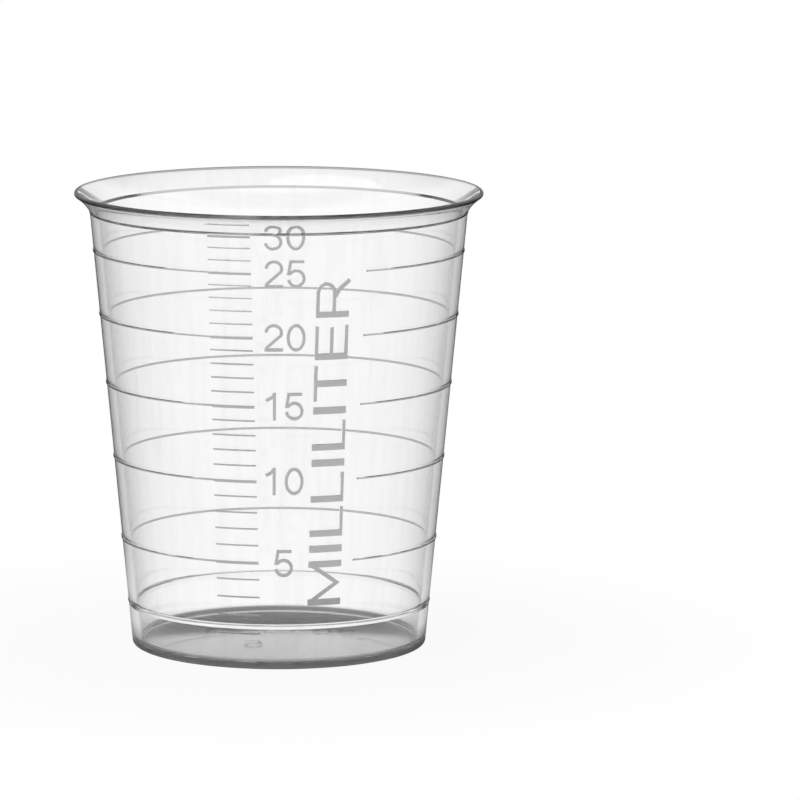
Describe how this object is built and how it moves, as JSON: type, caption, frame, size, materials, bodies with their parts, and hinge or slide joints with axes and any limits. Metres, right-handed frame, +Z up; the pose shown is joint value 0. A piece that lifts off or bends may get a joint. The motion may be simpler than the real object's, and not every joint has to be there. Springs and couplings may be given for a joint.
{
  "type": "medicine cup",
  "caption": "Small clear plastic dosing cup: tapered thin wall, flared lip, foot ring, raised volume marks and rings on the outside.",
  "frame": {"origin": "middle of the foot ring, on the plane that the cup stands on", "axes": "+Z up along the cup's axis; the graduated side faces -Y, so +X is to the reader's right"},
  "size_m": [0.0382, 0.0382, 0.0428],
  "materials": {
    "clear_plastic": "clear natural polypropylene, polished mould, frosted marks"
  },
  "bodies": {
    "root": {"cup": "clear_plastic"}
  },
  "joints": []
}
